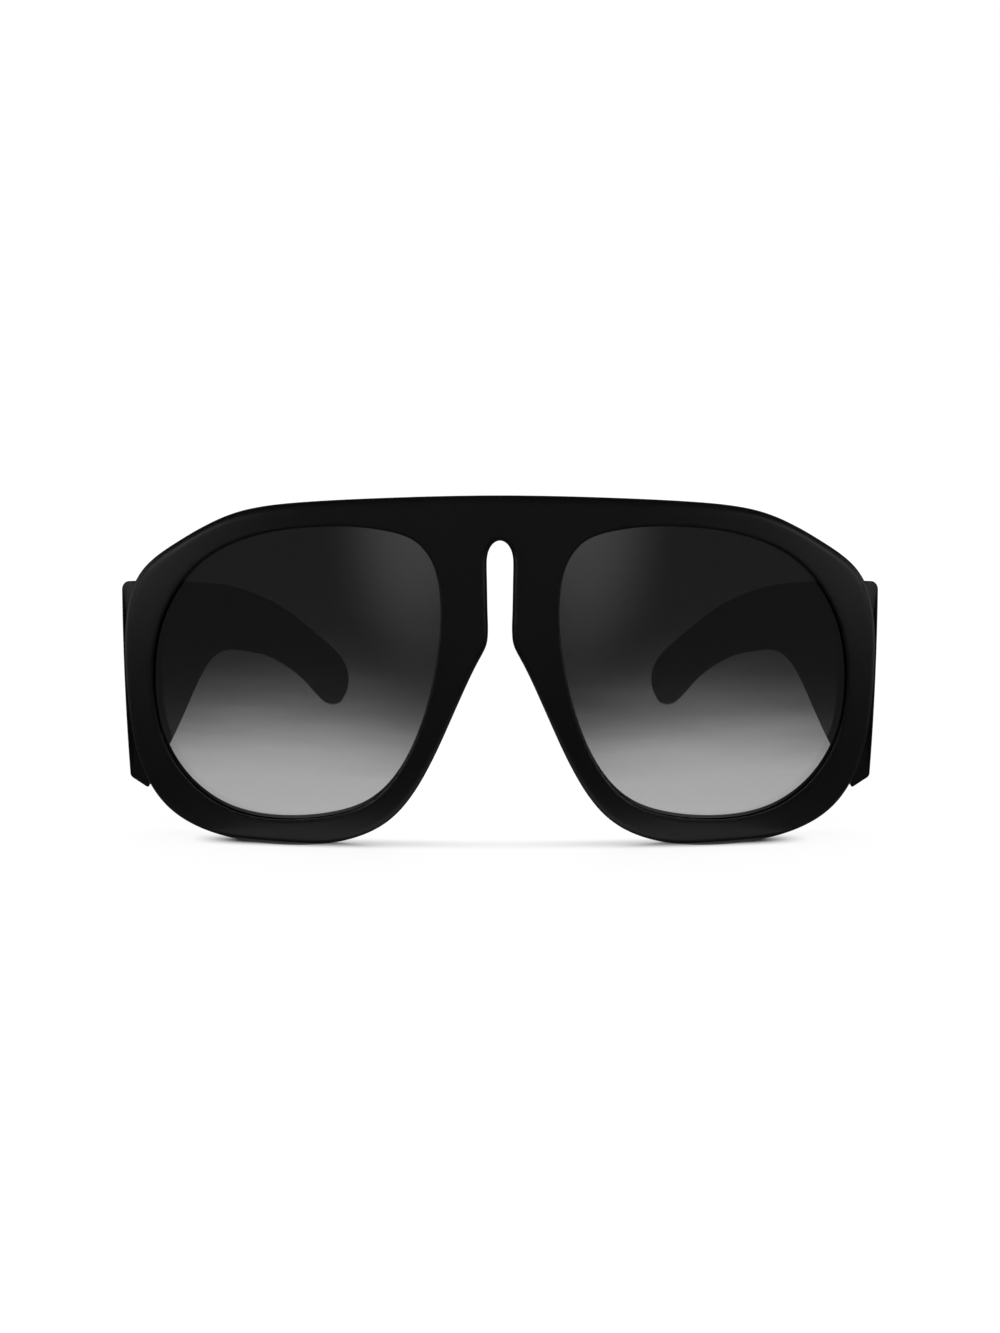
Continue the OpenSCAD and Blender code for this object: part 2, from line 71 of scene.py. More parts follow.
class FrontSizes(bpy.types.PropertyGroup):
    """Sizes of the wrapped front"""
    lens_w: length("Opening width", "Width of each lens opening", 0.0562)
    lens_h: length("Opening height", "Height of each lens opening", 0.0572)
    lens_gap: length("Opening gap", "Distance between the two openings at the bridge", 0.0222)
    lens_t: length("Lens thickness", "Thickness of the lenses", 0.002)
    lens_bite: length("Lens bite", "How far a lens reaches into its groove", 0.0009)
    wrap_r: length("Wrap radius", "Radius of the sphere the front is bent to", 0.170)
    front_t: length("Front thickness", "Thickness of the front", 0.006)
    rim_top: length("Upper rim", "Rim width above the openings", 0.0042)
    rim_side: length("Side rim", "Rim width beside the openings", 0.006)
    rim_low: length("Lower rim", "Rim width below the openings", 0.0057)
    edge_r: length("Edge rounding", "Rounding of the front's outer edge", 0.0013)
    lip_r: length("Lip rounding", "Rounding of the openings' front edge", 0.0005)
    lens_set: length("Lens setback", "How far the lenses lie behind the front's face", 0.0008)
    rear_r: length("Rear rounding", "Rounding of the rear edges", 0.0009)
    brow_h: length("Brow height", "Height of the solid brow above the bridge slot", 0.008)
    slot_w: length("Slot width", "Width of the bridge slot", 0.0048)
    slot_h: length("Slot height", "Height of the bridge slot", 0.0192)
    seat: length("Seat", "Clearance around a seated part", 0.0001)


class TempleSizes(bpy.types.PropertyGroup):
    """Sizes of the folding temples"""
    reach: length("Reach", "How far the tips reach behind the front's face", 0.1565)
    temple_h: length("Height", "Height of a temple's top corner at the front", 0.0504)
    temple_t: length("Thickness", "Thickness of a temple", 0.0041)
    temple_out: length("Stand-out", "How far a temple's outer face stands outside the rim", 0.0017)
    toe: share("Toe-in", "Inward slope of a temple where it starts", 0.05)
    bow_r: length("Bow radius", "Radius of a temple's inward bow", 0.397)
    temple_r: length("Edge rounding", "Rounding of a temple's edges", 0.0018)
    low_r: length("Low rounding", "Rounding of the lower edges where a temple starts", 0.0006)
    flare: length("Flare", "How much further out the lower edge stands where it starts", 0.0005)
    slant: length("Slant", "How much higher the outer lower edge starts than the inner one", 0.0021)
    butt_gap: length("Butt gap", "Gap between a temple's end and the front", 0.00025)
    end_r: length("End rounding", "Polished rounding of a temple's front end", 0.0003)
    tip_dome: length("Tip dome", "How far the tip's end is domed", 0.0003)


class HingeSizes(bpy.types.PropertyGroup):
    """Sizes of the hinges' seats"""
    barrel_r: length("Barrel radius", "Radius of the hinge barrels", 0.0016)
    leaf_t: length("Leaf thickness", "Thickness of the hinge leaves", 0.001)
    knuckle_gap: length("Knuckle gap", "Clearance between neighbouring barrels", 0.00006)
    front_leaf_w: length("Front leaf width", "Width of a front leaf", 0.0034)
    front_leaf_h: length("Front leaf height", "Height of a front leaf", 0.012)
    temple_leaf_l: length("Temple leaf length", "Length of a temple leaf", 0.0115)
    temple_leaf_h: length("Temple leaf height", "Height of a temple leaf", 0.0075)


class PadSizes(bpy.types.PropertyGroup):
    """Sizes of the nose pads"""
    pad_l: length("Length", "Length of a nose pad", 0.016)
    pad_w: length("Width", "Width of a nose pad", 0.0044)
    pad_h: length("Height", "How far a nose pad stands behind the front", 0.0046)


class Finishes(bpy.types.PropertyGroup):
    """Colours and finishes"""
    acetate: colour("Acetate", "Colour of the polished acetate", (0.003, 0.003, 0.0031))
    acetate_rough: share("Acetate roughness", "Roughness of the polished acetate", 0.42)
    lens_top: colour("Lens top", "What the lens lets through at its top", (0.0055, 0.0055, 0.0056))
    lens_low: colour("Lens bottom", "What the lens lets through at its bottom", (0.42, 0.42, 0.42))
    steel: colour("Steel", "Colour of the hinges", (0.66, 0.66, 0.68))
    screw_steel: colour("Screw steel", "Colour of the screws and core wires", (0.76, 0.76, 0.78))


class StageSettings(bpy.types.PropertyGroup):
    """Floor, light and camera"""
    floor: colour("Floor", "Colour of the floor and backdrop", (0.9, 0.9, 0.9))
    camera_back: length("Camera distance", "How far the camera stands in front of the middle",
                        0.37825)
    camera_up: length("Camera height", "Height of the camera over the floor", 0.09014)
    camera_pitch: FloatProperty(name="Camera pitch", description="How far the camera looks down",
                                default=math.radians(10), subtype="ANGLE")
    camera_lens: FloatProperty(name="Focal length", description="Focal length in millimetres",
                               default=44.55)


GROUPS = {"sun_front": FrontSizes, "sun_temple": TempleSizes, "sun_hinge": HingeSizes,
          "sun_pad": PadSizes, "sun_finish": Finishes, "sun_stage": StageSettings}

# Shares of the front's and the temples' outlines, as in the CAD source

WRAP_SHARE = 0.14
OPENING_SHARES = [
    (-0.77, 0.95), (-0.46, 1), (-0.14, 0.99), (0.17, 0.95), (0.47, 0.85), (0.7, 0.69), (0.87, 0.46),
    (0.97, 0.22), (1.01, -0.08), (0.99, -0.44), (0.82, -0.77), (0.52, -0.98), (0.16, -1.02),
    (-0.2, -0.98), (-0.54, -0.87), (-0.77, -0.57), (-0.9, -0.23), (-0.96, 0.02), (-0.99, 0.21),
    (-1.01, 0.4), (-1, 0.62), (-0.96, 0.77), (-0.88, 0.88)]
FRONT_SHARES = [
    (-1, 1.035), (-0.72, 1.03), (-0.4, 1.015), (-0.04, 0.99), (0.35, 0.94), (0.67, 0.745),
    (0.915, 0.58), (1, 0.28), (1, -0.1), (0.98, -0.52), (0.82, -0.86), (0.48, -0.99),
    (0.12, -1.008), (-0.2, -0.98), (-0.48, -0.84), (-0.65, -0.53), (-0.77, -0.21), (-0.89, 0.11)]
SLOT_SHARES = [(0.84, 0), (0.98, 0.24), (1, 0.64), (1.1, 0.92), (0, 1.04)]
UPPER_SHARES = [
    (0.15, 0.995), (0.22, 0.975), (0.3, 0.945), (0.38, 0.91), (0.465, 0.87), (0.55, 0.83),
    (0.63, 0.77), (0.7, 0.705), (0.765, 0.63), (0.825, 0.54), (0.885, 0.44), (0.94, 0.345),
    (0.98, 0.26), (1, 0.18), (1, 0.1), (0.99, 0.04)]
LOWER_SHARES = [
    (0.16, 0.15), (0.215, 0.19), (0.285, 0.255), (0.355, 0.355), (0.425, 0.485), (0.495, 0.535),
    (0.57, 0.515), (0.64, 0.465), (0.71, 0.415), (0.77, 0.345), (0.825, 0.265), (0.87, 0.185),
    (0.905, 0.1), (0.935, 0.035), (0.955, 0), (0.97, 0)]
FADE_STATIONS = 5
EASE_STATIONS = 2
TIP_STATIONS = 1.5
TIP_SHARE = 0.5
TIP_TURN = math.radians(58)
PAD_STATION = 16.5
PAD_LEAN = 0.0006
PAD_SHIFT = 0.0006
HINGE_SHARE = 0.84

# Fineness of the meshes

RIM_STEPS = 14
LENS_STEPS = 8
LENS_RINGS = 26
LENS_CROWD = 0.9
BROW_STEPS = 12
ARC_STEPS = 7
FACE_STEPS = 7
TEMPLE_STEPS = 12
FIRST_RING = TEMPLE_STEPS // 3
END_STEPS = 3
FLANK_STEPS = 9
PAD_ROUNDS = 18
PAD_SIDES = 64
SMOOTH_BELOW = math.radians(32)

# Grading of the lenses: how much its edge arches, its streaks, and its steps up the lens

LENS_ARCH = 5.5
LENS_STREAKS = (36.0, 36.0, 240.0)
LENS_SWAY = 0.07
LENS_STOPS = [(0.06, 1), (0.16, 0.98), (0.24, 0.78), (0.31, 0.52), (0.38, 0.26), (0.45, 0.13),
              (0.54, 0.03), (0.66, 0)]

# Floor: its size, how plain its white is near the object and far off, and a painted contact
# shadow in a strip under the front's foot, pale between the rims and dark under them

FLOOR_NEAR, FLOOR_FAR, FLOOR_WIDE = -0.26, 4.0, 4.0
PLAIN_NEAR, PLAIN_FAR = 0.88, 1.0
# Painted contact shadow: the strip's place, width and bend, where it ends and fades, and how pale
# its middle and how dark its sides are
FOOT_SHADOW_Y, FOOT_SHADOW_WIDE, FOOT_SHADOW_BEND = -0.0672, 0.0042, -1.2
FOOT_SHADOW_END, FOOT_SHADOW_FADE = 0.05, 0.012
FOOT_SHADOW_PALE, FOOT_SHADOW_DARK, FOOT_SHADOW_RISE = 0.25, 0.95, 0.045

# Flags: tones before and behind the object, and soft lights, each with the place it is seen
# from, its direction, how far it spreads, and its strength

FLAG_TONES = (0.075, 0.012)
NEAR_TONES = (0.03, 0.012)
NEAR_GLOW = ((0, 0, 0.06), (0, 0, -1), (1.2, 1.2, 1.2), 0.6)
SIDE_GLOWS = [
    ((0, -0.055, 0.038), (0.05, -0.98, -0.2), (0.17, 2, 0.3), 0.25),
    ((0, -0.055, 0.038), (0.24, -0.94, 0.25), (0.28, 2, 0.6), 0.42),
    ((0.0675, -0.055, 0.038), (0.89, -0.375, 0.29), (2, 0.13, 0.48), 11.5),
    ((0.07, 0, 0.03), (0.93, 0.36, 0.1), (0.6, 0.6, 0.55), 0.8)]
FOOT_GLOW_Z, FOOT_GLOW = 0.17, ((0, -0.71, -0.704), (0.45, 4, 0.035), 0.42)

# Cards on the floor and the dome over it

CARD_IN, CARD_OUT, CARD_Z, CARD_TURNS = 0.002, 1.05, 0.001, 360
GAP_INSET, GAP_WIDE, GAP_TURN, GAP_FADE = 0.0034, 0.006, 0.24, 0.12
DOME_R, DOME_TURNS, DOME_RISES = 1.2, 36, 18
DOME_LOW, DOME_SPAN = -60, 149


# Curves and meshes

BASIS = np.array([[-1, 3, -3, 1], [3, -6, 3, 0], [-3, 0, 3, 0], [1, 4, 1, 0]]) / 6


def spline(ring, along):
    """Points of a uniform cubic B-spline at stations along it; the ring has one point to spare
    at its start and one or two at its end"""
    span = np.minimum(along.astype(int), len(ring) - 4)
    f = (along - span)[:, None]
    weight = np.hstack([f ** 3, f ** 2, f, np.ones_like(f)]) @ BASIS
    return sum(weight[:, i:i + 1] * ring[span + i] for i in range(4))


def unit(v):
    return v / np.maximum(np.linalg.norm(v, axis=-1, keepdims=True), 1e-12)


def quarter(radius, steps=ARC_STEPS):
    """A quarter round from its flank to its face, as insets across and in depth"""
    turn = np.linspace(0, math.pi / 2, steps + 1)
    return [(radius * (1 - math.cos(t)), radius * (1 - math.sin(t))) for t in turn]


def make_piece(name, points, faces, body, replaced, material, mirror=False):
    """A smooth mesh piece that rides on a body and stands for a CAD node"""
    points = np.asarray(points, float).reshape(-1, 3)
    if mirror:
        points = points * [-1, 1, 1]
        faces = [f[::-1] for f in faces]
    mesh = bpy.data.meshes.new(name)
    mesh.from_pydata(points.tolist(), [], [list(map(int, f)) for f in faces])
    if mesh.validate():
        raise RuntimeError(f"{name}: the mesh had faults")
    piece = bpy.data.objects.new(name, mesh)
    bpy.context.scene.collection.objects.link(piece)
    mesh.materials.append(material)
    smooth(mesh)
    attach(piece, body)
    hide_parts(replaced)
    return piece


def smooth(mesh):
    mesh.polygons.foreach_set("use_smooth", np.ones(len(mesh.polygons), bool))
    mesh.set_sharp_from_angle(angle=SMOOTH_BELOW)


def cut_box(piece, place, low, high):
    """Cuts a box, given in the axes of place, out of a piece"""
    corners = [place @ Vector((x, y, z)) for x in (low[0], high[0]) for y in (low[1], high[1])
               for z in (low[2], high[2])]
    sides = [(0, 1, 3, 2), (4, 6, 7, 5), (0, 4, 5, 1), (2, 3, 7, 6), (0, 2, 6, 4), (1, 5, 7, 3)]
    if place.determinant() < 0:
        sides = [f[::-1] for f in sides]
    mesh = bpy.data.meshes.new("cutter")
    mesh.from_pydata([tuple(c) for c in corners], [], sides)
    cutter = bpy.data.objects.new("cutter", mesh)
    bpy.context.scene.collection.objects.link(cutter)
    cut = piece.modifiers.new("seat", "BOOLEAN")
    cut.operation, cut.object, cut.solver = "DIFFERENCE", cutter, "MANIFOLD"
    depsgraph = bpy.context.evaluated_depsgraph_get()
    made = bpy.data.meshes.new_from_object(piece.evaluated_get(depsgraph))
    if len(made.polygons) <= len(piece.data.polygons) // 2:
        raise RuntimeError(f"{piece.name}: the seat was not cut")
    piece.modifiers.remove(cut)
    piece.data = made
    smooth(made)
    bpy.data.objects.remove(cutter)


# Shape of the front, shared by the front, the lenses, the pads and the hinges' seats

class Front:
    """The front's outlines: matching points of a lens opening and of the outline around it"""

    def __init__(self, s, steps):
        self.s = s
        half_w, half_h = s.lens_w / 2, s.lens_h / 2
        self.lens_x, self.lens_z = s.lens_gap / 2 + half_w, s.rim_low + half_h
        self.wrap_z = self.lens_z + WRAP_SHARE * half_h
        self.side_x = self.lens_x + half_w + s.rim_side
        top = self.lens_z + FRONT_SHARES[0][1] * (half_h + s.rim_top)
        opening = np.array([(self.lens_x + x * half_w, self.lens_z + z * half_h)
                            for x, z in OPENING_SHARES])
        outline = np.array([(self.lens_x + x * (self.lens_x if x < 0 else half_w + s.rim_side),
                             self.lens_z + z * (half_h + (s.rim_top if z > 0 else s.rim_low)))
                            for x, z in FRONT_SHARES]
                           + [(x * s.slot_w / 2, top - s.brow_h - s.slot_h + z * s.slot_h)
                              for x, z in SLOT_SHARES])
        count = len(outline)
        brow = max(1, BROW_STEPS * steps // RIM_STEPS)
        self.foot = (count - 1) * steps
        self.rings = self.foot + brow
        around = np.concatenate([np.arange(self.foot) / steps, count - 1 + np.arange(brow) / brow])
        flip = np.array([-1, 1])
        open_ring = np.vstack([opening[-1:], opening, opening[:2]])
        out_ring = np.vstack([outline[1:2] * flip, outline, outline[-2:-1] * flip])
        self.inner = spline(open_ring, around)
        self.outer = spline(out_ring, np.minimum(around, count - 1))
        brow_top, slot_top = self.outer[0], self.outer[self.foot].copy()
        self.outer[self.foot:] = slot_top + np.arange(brow)[:, None] / brow * (brow_top - slot_top)
        self.inner_n = self.normals(self.inner)
        self.outer_n = self.normals(self.outer)
        self.outer_n[0], self.outer_n[self.foot], self.outer_n[self.foot + 1:] = (0, 1), (0, -1), 0
        self.groove_front = s.lens_set - s.seat
        self.groove_rear = self.groove_front + s.lens_t + 2 * s.seat

    @staticmethod
    def normals(p):
        run = np.roll(p, -1, 0) - np.roll(p, 1, 0)
        return unit(np.stack([-run[:, 1], run[:, 0]], 1))

    def depth_y(self, x, z, depth):
        """How far back the front's point at x and z, a depth behind its face, lies"""
        r = self.s.wrap_r
        return r - np.sqrt((r - depth) ** 2 - x ** 2 - (z - self.wrap_z) ** 2)

    def at(self, p, depth):
        p = np.asarray(p)
        return np.stack([p[..., 0], self.depth_y(p[..., 0], p[..., 1], depth), p[..., 1]], -1)


def placed(points, reach):
    """The model stands with its middle over the origin"""
    return np.asarray(points) + [0, -reach / 2, 0]


def front_mesh(front, reach):
    """Points and faces of the whole front: rim sections round both lenses, joined in the middle"""
    s, a, an, o, on = front.s, front.inner, front.inner_n, front.outer, front.outer_n
    t = s.front_t
    face_in, face_out = a + an * s.lip_r, o - on * s.edge_r
    back_in, back_out = a + an * s.rear_r, o - on * s.rear_r
    between = np.linspace(0, 1, FACE_STEPS + 1)[1:-1]
    lip, edge, rear = quarter(s.lip_r), quarter(s.edge_r), quarter(s.rear_r)
    section = [(a + an * u, d) for u, d in lip]
    section += [(face_in + f * (face_out - face_in), 0) for f in between]
    seam_from = len(section)
    section += [(o - on * u, d) for u, d in edge[::-1]]
    section += [(o, s.edge_r + f * (t - s.rear_r - s.edge_r)) for f in (1 / 3, 2 / 3)]
    section += [(o - on * u, t - d) for u, d in rear]
    seam_to = len(section) - 1
    section += [(back_out + f * (back_in - back_out), t) for f in between]
    section += [(a + an * u, t - d) for u, d in rear[::-1]]
    deep = an * (s.lens_bite + s.seat)
    section += [(a, front.groove_rear), (a + deep, front.groove_rear),
                (a + deep, front.groove_front), (a, front.groove_front)]
    loop, rings = len(section), front.rings
    half = np.stack([front.at(p, d) for p, d in section], 1).reshape(-1, 3)
    points = np.vstack([half, half * [-1, 1, 1]])

    def shared(i, j):
        return (i == 0 or i >= front.foot) and seam_from <= j <= seam_to

    def spot(side, i, j):
        return (0 if side == 0 or shared(i, j) else rings * loop) + i * loop + j

    faces = []
    for side in (0, 1):
        for i in range(rings):
            for j in range(loop):
                if i >= front.foot and seam_from <= j < seam_to:
                    continue
                k, m = (i + 1) % rings, (j + 1) % loop
                face = [spot(side, i, j), spot(side, k, j), spot(side, k, m), spot(side, i, m)]
                faces.append(face[::-1] if side else face)
    return used_only(placed(points, reach), faces)


def used_only(points, faces):
    """Drops the points that no face uses"""
    used = np.unique([v for f in faces for v in f])
    new = np.full(len(points), -1)
    new[used] = np.arange(len(used))
    return points[used], [[int(new[v]) for v in f] for f in faces]


def lens_mesh(front, reach):
    """A lens: two spherical faces, as rings round its middle, and the rim in the groove"""
    s = front.s
    outline = front.inner + front.inner_n * s.lens_bite
    middle = np.array([front.lens_x, front.lens_z])
    sides = len(outline)
    out = np.linspace(1, 0, LENS_RINGS + 1)[:-1] ** LENS_CROWD
    points, faces = [], []
    for depth, flip in ((front.groove_front + s.seat, False), (front.groove_rear - s.seat, True)):
        start = len(points)
        for f in out:
            points += list(front.at(middle + f * (outline - middle), depth))
        points.append(front.at(middle, depth))
        for r in range(LENS_RINGS):
            for i in range(sides):
                k = (i + 1) % sides
                a, b = start + r * sides + i, start + r * sides + k
                inner = [b + sides, a + sides] if r < LENS_RINGS - 1 else [len(points) - 1]
                faces.append(([a, b] + inner)[::1 if flip else -1])
    rear = LENS_RINGS * sides + 1
    faces += [[i, (i + 1) % sides, rear + (i + 1) % sides, rear + i] for i in range(sides)]
    return placed(points, reach), faces


class Temple:
    """A temple's edges and its bow, and the hinge's place between it and the front"""

    def __init__(self, t, front, hinge):
        self.t, self.front = t, front
        self.flank = t.temple_t / 2
        size = np.array([t.reach, t.temple_h])
        self.station = np.arange(TEMPLE_STEPS * (len(UPPER_SHARES) - 1) + 1) / TEMPLE_STEPS
        self.upper, self.lower = (self.edge(np.array(e) * size)
                                  for e in (UPPER_SHARES, LOWER_SHARES))
        self.start_y = UPPER_SHARES[0][0] * t.reach
        self.start_x = front.side_x + t.temple_out - self.flank
        self.ease_start()
        self.hinge_z = t.temple_h * HINGE_SHARE
        self.stand_off = hinge.barrel_r + front.s.seat + hinge.knuckle_gap
        x = self.start_x - self.flank
        rear_y = front.depth_y(x, self.hinge_z, front.s.front_t)
        self.face_turn = math.atan2(x, front.s.wrap_r - rear_y)
        self.toe_turn = math.atan(t.toe)
        open_turn = math.pi / 2 + self.face_turn - self.toe_turn
        axis_turn = math.pi / 2 + self.toe_turn + open_turn / 2
        reach_out = self.stand_off / math.sin(open_turn / 2)
        self.axis = (x + reach_out * math.cos(axis_turn), rear_y + reach_out * math.sin(axis_turn))

    def edge(self, points):
        ring = np.vstack([2 * points[0] - points[1], points, 2 * points[-1] - points[-2]])
        return spline(ring, self.station)

    def ease_start(self):
        """Lowers the start of the lower edge, so that it runs straight on from the butt's corner"""
        low, after = self.lower[0], self.lower[TEMPLE_STEPS]
        butt = self.front.depth_y(self.start_x, low[1], self.front.s.front_t) + self.t.butt_gap
        drop = (butt - low[0]) * (after[1] - low[1]) / (after[0] - low[0])
        self.lower[1:, 1] -= drop * np.maximum(0, 1 - self.station[1:] / EASE_STATIONS) ** 2

    def bow(self, y):
        run = y - self.start_y
        return self.start_x - self.t.toe * run - run ** 2 / (2 * self.t.bow_r)

    def hinge_place(self, turn, side):
        """Axes of a leaf at the hinge, for the wearer's left, or mirrored for the right"""
        place = Matrix.Translation((self.axis[0], self.axis[1] - self.t.reach / 2, self.hinge_z))
        place = place @ Matrix.Rotation(turn, 4, "Z")
        return Matrix.Diagonal((side, 1, 1, 1)) @ place

    def section(self, size, flank, fade, inset=0.0):
        """A section's outline: distances from the lower edge, and across the thickness"""
        r = min(self.t.temple_r, flank, size / 2)
        c = r + fade * (min(self.t.low_r, r) - r)
        rise = self.t.slant * fade / (2 * flank)
        low = [(flank - u, d + (2 * flank - u) * rise) for u, d in quarter(c)]
        low += [(u - flank, d + u * rise) for u, d in quarter(c)[::-1]]
        high = [(u - flank, size - d) for u, d in quarter(r)]
        high += [(flank - u, size - d) for u, d in quarter(r)[::-1]]
        steps = np.linspace(0, 1, FLANK_STEPS + 1)[1:-1]
        rows = [low, [(-flank, low[-1][1] + f * (high[0][1] - low[-1][1])) for f in steps],
                high, [(flank, high[-1][1] + f * (low[0][1] - high[-1][1])) for f in steps]]
        pts = np.array([p for row in rows for p in row])
        pts[:, 0] *= 1 - inset / flank
        pts[:, 1] = inset + pts[:, 1] * (1 - 2 * inset / size)
        return pts

    def ring(self, k, flank, inset=0.0, ahead=0.0, end=0.0):
        """Points of one section; ahead moves it back from the butt, end pushes it past the tip"""
        up, low, fade = self.upper[k], self.lower[k], max(0, 1 - self.station[k] / FADE_STATIONS)
        size = np.linalg.norm(up - low)
        across = (up - low) / size
        pts = self.section(size, flank, fade, inset)
        p = low + pts[:, 1:] * across + end * np.array([across[1], -across[0]])
        x = self.bow(p[:, 0]) + pts[:, 0] + self.t.flare * fade * (1 - pts[:, 1] / size)
        butt = self.front.depth_y(x, p[:, 1], self.front.s.front_t) + self.t.butt_gap
        y = butt + ahead if k == 0 else p[:, 0]
        return np.stack([x, y, p[:, 1]], 1)

    def mesh(self):
        """Points and faces of the temple, with a polished front end and a domed tip"""
        t = self.t
        last = self.station[-1]
        rings = [self.ring(0, self.flank, u, d) for u, d in quarter(t.end_r, END_STEPS)[::-1]]
        for k in range(FIRST_RING, len(self.station)):
            f = max(0, 1 - (last - self.station[k]) / TIP_STATIONS)
            flank = self.flank * math.sqrt(1 - (1 - TIP_SHARE ** 2) * f ** 2)
            rings.append(self.ring(k, flank))
        tip = self.flank * TIP_SHARE
        for turn in np.linspace(TIP_TURN, math.pi / 2, ARC_STEPS + 1)[1:-1]:
            out = (math.sin(turn) - math.sin(TIP_TURN)) / (1 - math.sin(TIP_TURN))
            rings.append(self.ring(k, tip, tip * (1 - math.cos(turn) / math.cos(TIP_TURN)),
                                   end=t.tip_dome * out))
        loop = len(rings[0])
        faces = []
        for i in range(len(rings) - 1):
            for j in range(loop):
                m = (j + 1) % loop
                faces.append([i * loop + j, i * loop + m, (i + 1) * loop + m, (i + 1) * loop + j])
        points = np.vstack(rings + [rings[0].mean(0)[None], rings[-1].mean(0)[None]])
        start, end = len(points) - 2, (len(rings) - 1) * loop
        faces += [[(j + 1) % loop, j, start] for j in range(loop)]
        faces += [[end + j, end + (j + 1) % loop, start + 1] for j in range(loop)]
        return placed(points, t.reach), faces


def pad_mesh(front, p, reach):
    """A nose pad: a leaning dome along the rim beside the nose"""
    middle = (front.inner + front.outer) / 2
    at = round(PAD_STATION * RIM_STEPS)
    up = unit(middle[at + RIM_STEPS] - middle[at - RIM_STEPS])
    over = np.array([up[1], -up[0]])
    centre = middle[at] - PAD_SHIFT * over
    thick, seat = front.s.front_t, front.s.seat
    turns = np.linspace(0, 2 * math.pi, PAD_SIDES, endpoint=False)
    points = []
    for rise in np.linspace(0, math.pi / 2, PAD_ROUNDS + 1)[:-1]:
        flat = centre + math.cos(rise) * (np.cos(turns)[:, None] * p.pad_w / 2 * over
                                          + np.sin(turns)[:, None] * p.pad_l / 2 * up)
        y = front.depth_y(flat[:, 0], flat[:, 1], thick) + seat + p.pad_h * math.sin(rise)
        points += list(np.stack([flat[:, 0] - PAD_LEAN * math.sin(rise), y, flat[:, 1]], 1))
    base_y = float(front.depth_y(centre[0], centre[1], thick)) + seat
    points += [np.array([centre[0] - PAD_LEAN, base_y + p.pad_h, centre[1]]),
               np.array([centre[0], base_y, centre[1]])]
    n, tip = PAD_SIDES, PAD_ROUNDS * PAD_SIDES
    faces = [[k * n + i, k * n + (i + 1) % n, (k + 1) * n + (i + 1) % n, (k + 1) * n + i][::-1]
             for k in range(PAD_ROUNDS - 1) for i in range(n)]
    faces += [[tip, tip - n + (i + 1) % n, tip - n + i] for i in range(n)]
    faces += [[i, (i + 1) % n, tip + 1] for i in range(n)]
    return placed(points, reach), faces


# Materials

def new_material(name):
    material = bpy.data.materials.get(name)
    if material:
        return material, None
    material = bpy.data.materials.new(name)
    material.use_nodes = True
    return material, material.node_tree


def node(tree, kind, at, inputs=None, **settings):
    """A node with its settings and its inputs, which are values or sockets to link from"""
    made = tree.nodes.new(kind)
    made.location = at
    for key, value in settings.items():
        setattr(made, key, value)
    for key, value in (inputs or {}).items():
        if isinstance(value, bpy.types.NodeSocket):
            tree.links.new(value, made.inputs[key])
        else:
            made.inputs[key].default_value = value
    return made


def rgba(c):
    return (*c, 1)


def group(name, inputs, outputs):
    """A new node group with named sockets, and its two end nodes"""
    tree = bpy.data.node_groups.new(name, "ShaderNodeTree")
    for label, kind, value in inputs:
        socket = tree.interface.new_socket(label, in_out="INPUT", socket_type=kind)
        socket.default_value = value
    for label, kind in outputs:
        tree.interface.new_socket(label, in_out="OUTPUT", socket_type=kind)
    source = node(tree, "NodeGroupInput", (-1200, 0))
    return tree, source.outputs, node(tree, "NodeGroupOutput", (600, 0)).inputs


